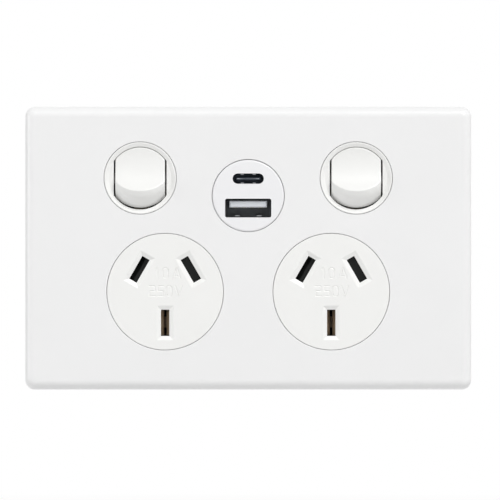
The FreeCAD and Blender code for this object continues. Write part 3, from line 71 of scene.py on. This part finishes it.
def per_mm(period):
    """The scale of a pattern whose features are that many millimetres apart."""
    return 1 / (period * MM)


def add(tree, kind, inputs=None, **settings):
    """A node in a tree, with its settings, and its inputs set or linked."""
    made = tree.nodes.new("ShaderNode" + kind)
    for name, value in settings.items():
        setattr(made, name, value)
    for name, value in (inputs or {}).items():
        if isinstance(value, bpy.types.NodeSocket):
            tree.links.new(value, made.inputs[name])
        else:
            made.inputs[name].default_value = value
    return made


def new_tree(name):
    """A material's empty node tree and the object coordinates in it."""
    material = bpy.data.materials.new(name)
    material.use_nodes = True
    material.node_tree.nodes.clear()
    place = add(material.node_tree, "TexCoord").outputs["Object"]
    return material, material.node_tree, place


def close(material, shader):
    """The material with that shader as its surface."""
    add(material.node_tree, "OutputMaterial", {"Surface": shader.outputs[0]})
    return material


def between(tree, factor, low, high):
    """Two colours or sockets mixed by a factor."""
    mix = add(tree, "Mix", data_type="RGBA")
    tree.links.new(factor, mix.inputs["Factor"])
    for socket, value in ((mix.inputs[6], low), (mix.inputs[7], high)):
        if isinstance(value, bpy.types.NodeSocket):
            tree.links.new(value, socket)
        else:
            socket.default_value = value
    return mix.outputs[2]


def spread(tree, factor, low, high):
    """A factor of 0 to 1 stretched to the range from low to high."""
    return add(tree, "MapRange", {"Value": factor, "To Min": low, "To Max": high}).outputs["Result"]


def moulded(name, colour, shade, rough, cloud, grain, depth, ior=1.58, coat=0.0, painted_shading=None):
    """Moulded plastic: faint clouds of colour and gloss, over a fine grain in the surface.

    cloud and grain are their sizes and depth is the grain's height, in millimetres. The last
    argument is painted light and shade: the colour it turns to further into the wall, with the
    depths where that starts and is full.
    """
    material, tree, place = new_tree(name)
    clouds = add(tree, "TexNoise", {"Vector": place, "Scale": per_mm(cloud), "Detail": 2.0})
    grains = add(tree, "TexNoise", {"Vector": place, "Scale": per_mm(grain), "Detail": 3.0,
                                    "Roughness": 0.6})
    bump = add(tree, "Bump", {"Height": grains.outputs["Fac"], "Distance": depth * MM,
                              "Strength": 1.0})
    skin = between(tree, clouds.outputs["Fac"], linear(shade), linear(colour))
    # Painted light and shade: with depth into the wall the colour turns to the given one
    if painted_shading:
        inwards = add(tree, "SeparateXYZ", {"Vector": place}).outputs["Y"]
        painted_shading_mix = add(tree, "MapRange", {"Value": inwards, "From Min": painted_shading[1] * MM,
                                      "From Max": painted_shading[2] * MM})
        skin = between(tree, painted_shading_mix.outputs["Result"], skin, linear(painted_shading[0]))
    shader = add(tree, "BsdfPrincipled", {
        "Base Color": skin,
        "Roughness": spread(tree, clouds.outputs["Fac"], rough * 0.85, rough * 1.15),
        "IOR": ior,
        "Coat Weight": coat,
        "Coat Roughness": 0.08,
        "Normal": bump.outputs["Normal"],
    })
    return close(material, shader)


def metal(name, colour, tarnish, rough, stretch, line, depth):
    """Worked metal: lines along one axis from rolling or drawing, and patches of tarnish.

    line is the spacing of the lines and depth their height, in millimetres. stretch scales the
    pattern along X, Y and Z, and the lines run along the axis where it is smallest.
    """
    material, tree, place = new_tree(name)
    drawn = add(tree, "Mapping", {"Vector": place, "Scale": stretch})
    lines = add(tree, "TexNoise", {"Vector": drawn.outputs["Vector"], "Scale": per_mm(line),
                                   "Detail": 3.0})
    patches = add(tree, "TexNoise", {"Vector": place, "Scale": per_mm(4.0), "Detail": 4.0,
                                     "Roughness": 0.65})
    worn = add(tree, "ValToRGB", {"Fac": patches.outputs["Fac"]})
    worn.color_ramp.elements[0].position = 0.35
    worn.color_ramp.elements[1].position = 0.7
    bump = add(tree, "Bump", {"Height": lines.outputs["Fac"], "Distance": depth * MM,
                              "Strength": 1.0})
    shader = add(tree, "BsdfPrincipled", {
        "Base Color": between(tree, worn.outputs["Color"], linear(colour), linear(tarnish)),
        "Metallic": 1.0,
        "Roughness": spread(tree, lines.outputs["Fac"], rough * 0.75, rough * 1.25),
        "Normal": bump.outputs["Normal"],
    })
    return close(material, shader)


# Polycarbonate, moulded in a polished tool: clean white with a soft, even gloss
plate_white = moulded("polycarbonate_polished_white", "#F4F4F4", "#F1F1F1", 0.30, 18.0, 0.9, 0.0006)
# Polycarbonate from a spark-eroded tool: a little warmer, its gloss broken by a fine grain
face_white = moulded("polycarbonate_fine_matt_white", "#F6F6F4", "#F3F3F1", 0.42, 12.0, 0.35, 0.004)
# The rockers' polycarbonate: white and smooth from fingers, with painted shade where it dips into the
# well
rocker_white = moulded("polycarbonate_rocker_white", "#F3F3F1", "#F0F0EE", 0.26, 9.0, 0.8, 0.0006,
                       painted_shading=("#A9A9A6", -4.0, 1.0))
# The charger's front is moulded from another resin: a colder white
fascia_white = moulded("polycarbonate_cool_white", "#F4F4F5", "#F1F1F3", 0.24, 10.0, 0.8, 0.0006)
# Urea thermoset, pressed: dense, matt grey with a mottled skin
base_grey = moulded("urea_pressed_matt", "#6A6C6C", "#5C5E5E", 0.6, 6.0, 0.5, 0.01)
# Acetal, moulded: waxy and near black
shutter_grey = moulded("acetal_moulded_grey", "#161817", "#101211", 0.5, 4.0, 0.4, 0.004, 1.33)
# Glass-filled nylon, moulded: pale blue-white with a satin skin, with painted shade deeper in the port
tongue_blue = moulded("nylon_moulded_pale_blue", "#F8FCFF", "#F0F6FD", 0.5, 3.0, 0.25, 0.003, 1.6,
                      painted_shading=("#9CA2A8", -7.0, -5.0))
# Liquid-crystal polymer, moulded: slate with flow marks, near black in the shade of a port, and painted
# light: a paler slate deeper in the port
dark_polymer = moulded("crystal_polymer_black", "#59626F", "#3C434E", 0.55, 1.2, 0.2, 0.003, 1.3,
                       painted_shading=("#6A7484", -7.0, -5.0))
# Glass-epoxy laminate under solder mask: green, wet-looking, with the weave just felt
board_green = moulded("solder_mask_on_laminate", "#17603A", "#104A2C", 0.3, 2.0, 0.5, 0.006, 1.5, 0.3)
# Ferrite, pressed and sintered: dark, dry and granular
ferrite_grey = moulded("ferrite_sintered", "#3A3B3E", "#2B2C2E", 0.65, 2.0, 0.18, 0.012)
# Polyester tape over the winding: clear yellow with the turns showing through
tape_yellow = moulded("polyester_tape_yellow", "#E3B33A", "#C79225", 0.22, 1.0, 0.4, 0.01, 1.6, 0.4)
# Shrink sleeve on the capacitors' cans: dark blue and glossy
sleeve_blue = moulded("shrink_sleeve_dark_blue", "#26324A", "#1C2538", 0.3, 3.0, 0.6, 0.003, 1.5, 0.3)

# Phosphor bronze strip, rolled along its length: brown with a soft shine
strip_bronze = metal("phosphor_bronze_rolled", "#D8CBBA", "#B9AA98", 0.5, (1.0, 1.0, 0.12), 0.2, 0.002)
# Brass, sawn and tumbled: yellow, lightly scratched
block_brass = metal("brass_machined", "#D0AA60", "#AD8748", 0.28, (0.2, 1.0, 1.0), 0.25, 0.003)
# Silver alloy rivets, pressed: pale with a little grey
rivet_silver = metal("silver_alloy_pressed", "#D9D7D0", "#B5B2A9", 0.3, (1.0, 1.0, 1.0), 0.15, 0.002)
# Contact fingers, stamped and nickel plated: a dull grey line along the pale tongue
finger_nickel = metal("nickel_plated_fingers", "#8A8578", "#6F6B60", 0.22, (1.0, 0.2, 1.0), 0.1, 0.001)
# Stainless strip, folded, then dull nickel plated, coloured near black: painted shade inside the ports
port_nickel_painted_dark = metal("stainless_nickel_painted_dark", "#26292E", "#1C1F23", 0.65, (1.0, 0.15, 1.0), 0.2, 0.002)
# Spring leaves in the ports, bright nickel: they catch light beside the shells, which are painted dark
port_bright = metal("nickel_bright_spring_leaf", "#B9BCC0", "#97999E", 0.3, (1.0, 0.2, 1.0), 0.1, 0.001)
# Steel screws, zinc plated: pale with a faint yellow passivate
screw_zinc = metal("steel_zinc_plated", "#C6C7C4", "#A5A69C", 0.32, (1.0, 1.0, 1.0), 0.3, 0.003)
# Stainless wire, drawn
wire_steel = metal("stainless_wire_drawn", "#B4B5B8", "#95969A", 0.24, (1.0, 1.0, 1.0), 0.1, 0.001)

FINISHES = {
    "plate_plastic": plate_white, "face_plastic": face_white, "base_plastic": base_grey,
    "fascia_plastic": fascia_white, "rocker_plastic": rocker_white,
    "shutter_plastic": shutter_grey, "tongue_plastic": tongue_blue, "dark_plastic": dark_polymer,
    "board_laminate": board_green, "ferrite": ferrite_grey, "winding_tape": tape_yellow,
    "can_aluminium": sleeve_blue, "strip_brass": strip_bronze, "terminal_brass": block_brass,
    "contact_silver": rivet_silver, "gold_plate": finger_nickel, "port_steel": port_nickel_painted_dark,
    "zinc_steel": screw_zinc, "spring_steel": wire_steel,
}


def dress(thing, material):
    """Gives an object that one material."""
    thing.data.materials.clear()
    thing.data.materials.append(material)


for part in frame["record"]["subparts"]:
    dress(nodes[part["node"]], FINISHES[part["material_slot"]])


def quads(index):
    """The quads between the rows and columns of a grid of point numbers."""
    corners = np.stack([index[:-1, :-1], index[1:, :-1], index[1:, 1:], index[:-1, 1:]], -1)
    return [tuple(corner) for corner in corners.reshape(-1, 4)]


def tube(rows, closed, first):
    """Faces round a tube, each row a section: joined end to start, or capped flat at both ends."""
    index = first + np.arange(rows.shape[0] * rows.shape[1]).reshape(rows.shape[:2])
    ring = np.hstack([index, index[:, :1]])
    if closed:
        return quads(np.vstack([ring, ring[:1]]))
    return quads(ring) + [tuple(index[0]), tuple(index[-1][::-1])]


def piece(name, tubes, material, smooth=False):
    """One object of tubes, in millimetres, with its material.

    smooth rounds the shading of the sides and leaves the flat caps alone.
    """
    points, faces, count = [], [], 0
    for rows, closed in tubes:
        faces += tube(rows, closed, count)
        points.append(rows.reshape(-1, 3))
        count += len(points[-1])
    mesh = bpy.data.meshes.new(name)
    mesh.from_pydata(np.vstack(points) * MM, [], faces)
    mesh.polygons.foreach_set("use_smooth", [smooth and len(face) == 4 for face in faces])
    thing = bpy.data.objects.new(name, mesh)
    bpy.context.scene.collection.objects.link(thing)
    dress(thing, material)
    return thing


# Rating marks: the sunk figures and letters of the socket faces end in a V, not a flat floor

# A mark's height, a line's width, a digit's and a letter's width, and a leg's foot from its side
HEIGHT, LINE, DIGIT, LETTER = 3.0, 0.45, 1.85, 2.4
SIDE, LEG = LINE / 2, 0.26


def ring_path():
    """A nought's middle line: a superellipse, each axis times cosine or sine to the power 0.6."""
    turn = np.linspace(0, 2 * np.pi, 48, endpoint=False)
    x = np.sign(np.cos(turn)) * np.abs(np.cos(turn)) ** 0.6
    z = np.sign(np.sin(turn)) * np.abs(np.sin(turn)) ** 0.6
    return np.stack([DIGIT / 2 + (DIGIT / 2 - SIDE) * x, HEIGHT / 2 + (HEIGHT / 2 - SIDE) * z], -1)


def hook_path(mirrored):
    """The middle line of a figure 2, or of a 5 when it is mirrored left to right."""
    right, top, middle = DIGIT - SIDE, HEIGHT - SIDE, HEIGHT / 2
    path = np.array([(0, top), (right - 0.15, top), (right, top - 0.15), (right, middle + 0.15),
                     (right - 0.15, middle), (SIDE + 0.15, middle), (SIDE, middle - 0.15),
                     (SIDE, SIDE), (DIGIT, SIDE)])
    return path * (-1, 1) + (DIGIT, 0) if mirrored else path


# Per mark: its width, and for each stroke the middle line, half its width, and if it closes
MARKS = {
    "0": (DIGIT, [(ring_path(), SIDE, True)]),
    "1": (0.85, [(np.array([(0.625, 0), (0.625, HEIGHT)]), SIDE, False),
                 (np.array([(0, 2.325), (0.45, 2.83)]), 0.15, False)]),
    "2": (DIGIT, [(hook_path(False), SIDE, False)]),
    "5": (DIGIT, [(hook_path(True), SIDE, False)]),
    "A": (LETTER, [(np.array([(LEG, 0), (LETTER / 2, HEIGHT - 0.05)]), 0.24, False),
                   (np.array([(LETTER - LEG, 0), (LETTER / 2, HEIGHT - 0.05)]), 0.24, False),
                   (np.array([(0.6, 1.5 * LINE), (LETTER - 0.6, 1.5 * LINE)]), SIDE, False)]),
    "V": (LETTER, [(np.array([(LEG, HEIGHT), (LETTER / 2, 0.05)]), 0.24, False),
                   (np.array([(LETTER - LEG, HEIGHT), (LETTER / 2, 0.05)]), 0.24, False)]),
}


def stroke(path, half, closed):
    """A V-shaped lining carried along a stroke, its rows the points of the path.

    Sideways from the path by the half width times -1, 0, 1, 1 and -1, and in depth from just
    under the face down to the middle, up again, then round below the sunk floor. At a bend the
    sideways step grows by one over the cosine of half the turn, so that its sides stay parallel.
    """
    if closed:
        steps = np.roll(path, -1, 0) - path
        before = np.roll(steps, 1, 0)
    else:
        steps = np.diff(path, axis=0)
        before = np.vstack([steps[:1], steps])
        steps = np.vstack([steps, steps[-1:]])
    steps = steps / np.linalg.norm(steps, axis=1)[:, None]
    before = before / np.linalg.norm(before, axis=1)[:, None]
    side = np.stack([-(steps + before)[:, 1], (steps + before)[:, 0]], -1)
    side = side / np.linalg.norm(side, axis=1)[:, None]
    side = side / np.sum(side * np.stack([-steps[:, 1], steps[:, 0]], -1), 1)[:, None]
    across = np.array([-1.0, 0.0, 1.0, 1.0, -1.0])
    depth = np.array([-8.995, -8.86, -8.995, -8.84, -8.84])
    flat = path[:, None] + side[:, None] * (half * across)[None, :, None]
    return np.stack([flat[..., 0], np.broadcast_to(depth, flat.shape[:2]), flat[..., 1]], -1)


# Per line: its marks, the gap between them, its shift to the right, and its foot above the middle
RATING = (("10A", 0.95, 0.85, 3.5), ("250V", 0.4, 0.2, -1.3))


def rating_lines(side, socket_x):
    """Both lines of a socket face's rating in one mesh, about the middle of the face."""
    tubes = []
    for text, gap, shift, foot in RATING:
        widths = [MARKS[mark][0] for mark in text]
        lefts = np.cumsum([0] + widths[:-1]) + gap * np.arange(len(text))
        lefts += shift - (sum(widths) + gap * (len(text) - 1)) / 2
        for mark, left in zip(text, lefts):
            for path, half, closed in MARKS[mark][1]:
                place = (socket_x + left, 0, SOCKET_Z + foot)
                tubes.append((stroke(path, half, closed) + place, closed))
    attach(piece("rating_" + side, tubes, face_white), "base")


rating_lines("left", -SOCKET_X)
rating_lines("right", SOCKET_X)


# Shutter springs: each is wound from round wire

def shutter_spring(side, socket_x):
    """A helix along X: the coil's radius times the sine and cosine of the turn, evenly climbing.

    Its section is a circle square to the wire, with a flat cap at both ends. One end stands on the
    guide's post, and the other is at the shutter's tail.
    """
    room, coil, wire, turns = 8.0, 0.85, 0.15, 5
    climb = room - 0.4
    turn = np.linspace(0, 2 * np.pi * turns, 36 * turns + 1)
    level = np.zeros_like(turn)
    outward = np.stack([level, np.sin(turn), -np.cos(turn)], -1)
    along = np.stack([level + climb / turn[-1], coil * np.cos(turn), coil * np.sin(turn)], -1)
    along = along / np.linalg.norm(along, axis=1)[:, None]
    middle = (socket_x + 0.2, SPRING_Y, SPRING_Z) + coil * outward
    middle[:, 0] += climb * turn / turn[-1]
    around = np.linspace(0, 2 * np.pi, 16, endpoint=False)[None, :, None]
    rows = middle[:, None] + wire * (np.cos(around) * outward[:, None]
                                     + np.sin(around) * np.cross(outward, along)[:, None])
    thing = piece("shutter_coil_" + side, [(rows, False)], wire_steel, smooth=True)
    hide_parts("shutter_spring_" + side)
    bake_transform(thing)


shutter_spring("left", -SOCKET_X)
shutter_spring("right", SOCKET_X)


# Ports: the sprung leaves that hold a plug, and the steel core that shows along the C tongue

def leaf(x, wall, up, rise, width, root, tip):
    """A strip 0.2 mm thick that bows off a wall, its height the rise times a part of a sine.

    up is 1 from a floor and -1 from a ceiling. The sine runs from 0 at the root to 0.85 of half
    a turn at the tip, so that the tip stays clear of the wall.
    """
    t = np.linspace(0, 1, 17)
    y = root + (tip - root) * t
    low = wall + up * rise * np.sin(0.85 * np.pi * t)
    high = low + up * 0.2
    left, right = np.full_like(t, x - width / 2), np.full_like(t, x + width / 2)
    rows = np.stack([np.stack(corner, -1) for corner in
                     ((left, y, low), (left, y, high), (right, y, high), (right, y, low))], 1)
    return rows[:, ::up], False


def port_springs():
    """Two leaves on the floor of the A port, and two on each long wall of the C port."""
    leaves = [leaf(x, A_FLOOR, 1, 0.75, 1.3, 0.6, -5.7) for x in (-2.9, 2.9)]
    for x in (-1.6, 1.6):
        leaves.append(leaf(x, C_FLOOR, 1, 0.2, 0.8, -3.4, -7.2))
        leaves.append(leaf(x, C_CEILING, -1, 0.2, 0.8, -3.4, -7.2))
    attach(piece("port_springs", leaves, port_bright), "base")


def c_core():
    """A bar along the C tongue's front edge: its half height grows with the fourth power of x."""
    x = np.linspace(-2.9, 2.9, 33)
    half = 0.02 + 0.10 * (x / 2.9) ** 4
    front, back = np.full_like(x, -7.36), np.full_like(x, -6.9)
    rows = np.stack([np.stack(corner, -1) for corner in
                     ((x, front, C_MIDDLE - half), (x, front, C_MIDDLE + half),
                      (x, back, C_MIDDLE + half), (x, back, C_MIDDLE - half))], 1)
    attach(piece("c_tongue_core", [(rows, False)], port_bright), "base")


port_springs()
c_core()


# Stage: a pale floor below the socket, white where the camera or a reflection sees it

FLOOR_HEIGHT = -0.085


def seen_rays(tree):
    """1 for rays from the camera, a reflection or a clear body, otherwise 0."""
    rays = add(tree, "LightPath").outputs
    first = add(tree, "Math", {0: rays["Is Camera Ray"], 1: rays["Is Glossy Ray"]},
                operation="MAXIMUM")
    second = add(tree, "Math", {0: first.outputs[0], 1: rays["Is Transmission Ray"]},
                 operation="MAXIMUM")
    return second.outputs[0]


def stage_floor():
    """A flat square floor, 6 m each way: x and y in even steps, all at one height.

    Close to the socket it takes the shadow; far off it fades into the white of the world.
    """
    x, y = np.meshgrid(np.linspace(-3, 3, 13), np.linspace(-3, 3, 13), indexing="ij")
    mesh = bpy.data.meshes.new("floor")
    points = np.stack([x, y, np.full_like(x, FLOOR_HEIGHT)], -1)
    mesh.from_pydata(points.reshape(-1, 3), [], quads(np.arange(x.size).reshape(x.shape)))
    floor = bpy.data.objects.new("floor", mesh)
    bpy.context.scene.collection.objects.link(floor)
    material, tree, place = new_tree("painted_board_white")
    tint = add(tree, "TexNoise", {"Vector": place, "Scale": per_mm(60.0)})
    paint = add(tree, "BsdfDiffuse", {
        "Color": between(tree, tint.outputs["Fac"], linear("#EAEAEA"), linear("#EFEFEF"))})
    white = add(tree, "Emission", {"Color": (1, 1, 1, 1), "Strength": 1.0})
    seen = seen_rays(tree)
    away = add(tree, "VectorMath", {0: place}, operation="LENGTH").outputs["Value"]
    fade = add(tree, "MapRange", {"Value": away, "From Min": 0.15, "From Max": 0.45,
                                  "To Min": 0.55, "To Max": 1.0}).outputs["Result"]
    share = add(tree, "Math", {0: seen, 1: fade}, operation="MULTIPLY")
    both = add(tree, "MixShader", {0: share.outputs[0], 1: paint.outputs[0], 2: white.outputs[0]})
    dress(floor, close(material, both))


def studio_world(strength):
    """Even soft light all round, white where it is seen."""
    world = bpy.data.worlds.new("studio")
    bpy.context.scene.world = world
    world.use_nodes = True
    tree = world.node_tree
    tree.nodes.clear()
    level = spread(tree, seen_rays(tree), strength, 1.0)
    light = add(tree, "Background", {"Color": (1, 1, 1, 1), "Strength": level})
    add(tree, "OutputWorld", {"Surface": light.outputs[0]})


def lamp(name, place, size, power, aim=(0.0, 0.0, 0.0)):
    """A square soft lamp that faces a point."""
    light = bpy.data.lights.new(name, "AREA")
    light.size = size
    light.energy = power
    thing = bpy.data.objects.new(name, light)
    thing.visible_camera = False
    bpy.context.scene.collection.objects.link(thing)
    thing.location = place
    away = thing.location - type(thing.location)(aim)
    thing.rotation_euler = away.to_track_quat("Z", "Y").to_euler()


def camera(focal, picture_width, centre):
    """Straight in front of a point, where the picture is that many metres wide."""
    data = bpy.data.cameras.new("camera")
    data.lens = focal
    thing = bpy.data.objects.new("camera", data)
    bpy.context.scene.collection.objects.link(thing)
    distance = picture_width * focal / data.sensor_width
    thing.location = (centre[0], centre[1] - distance, centre[2])
    thing.rotation_euler = (np.pi / 2, 0, 0)
    data.clip_start, data.clip_end = 0.01, 20
    bpy.context.scene.camera = thing


stage_floor()
studio_world(0.42)
lamp("key", (1.3, -2.1, 2.6), 1.5, 77.0)
lamp("edge", (-1.20, -0.22, 0.10), 0.60, 3.8)
camera(400.0, 133.26 * MM, (0.48 * MM, -9.0 * MM, -0.48 * MM))
bpy.context.scene.view_settings.view_transform = "Standard"
